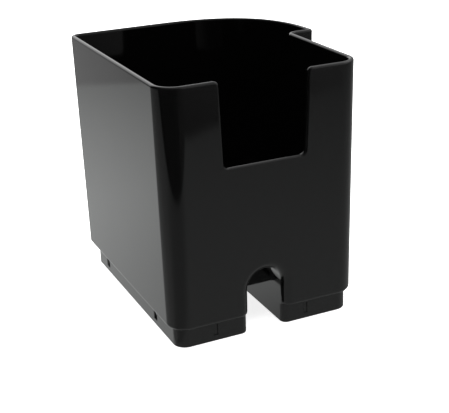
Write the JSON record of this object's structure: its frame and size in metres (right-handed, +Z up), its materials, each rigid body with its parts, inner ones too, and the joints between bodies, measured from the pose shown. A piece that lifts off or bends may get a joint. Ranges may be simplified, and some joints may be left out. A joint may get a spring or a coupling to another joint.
{
  "type": "coffee grounds container",
  "caption": "Open-top black grounds bin with a notched front wall, a rounded side lobe and a blind arched tunnel, on an inset clip-on base tray.",
  "frame": {"origin": "middle of the overall box, on the surface that the bin stands on", "axes": "+Z up, front wall with the notch and the tunnel at -Y, lobe at +X"},
  "size_m": [0.1132, 0.128, 0.1278],
  "materials": {
    "bin_body": "high-gloss moulded black ABS",
    "base_tray": "gloss moulded black ABS"
  },
  "bodies": {
    "root": {"bin_body": "bin_body", "base_tray": "base_tray"}
  },
  "joints": []
}
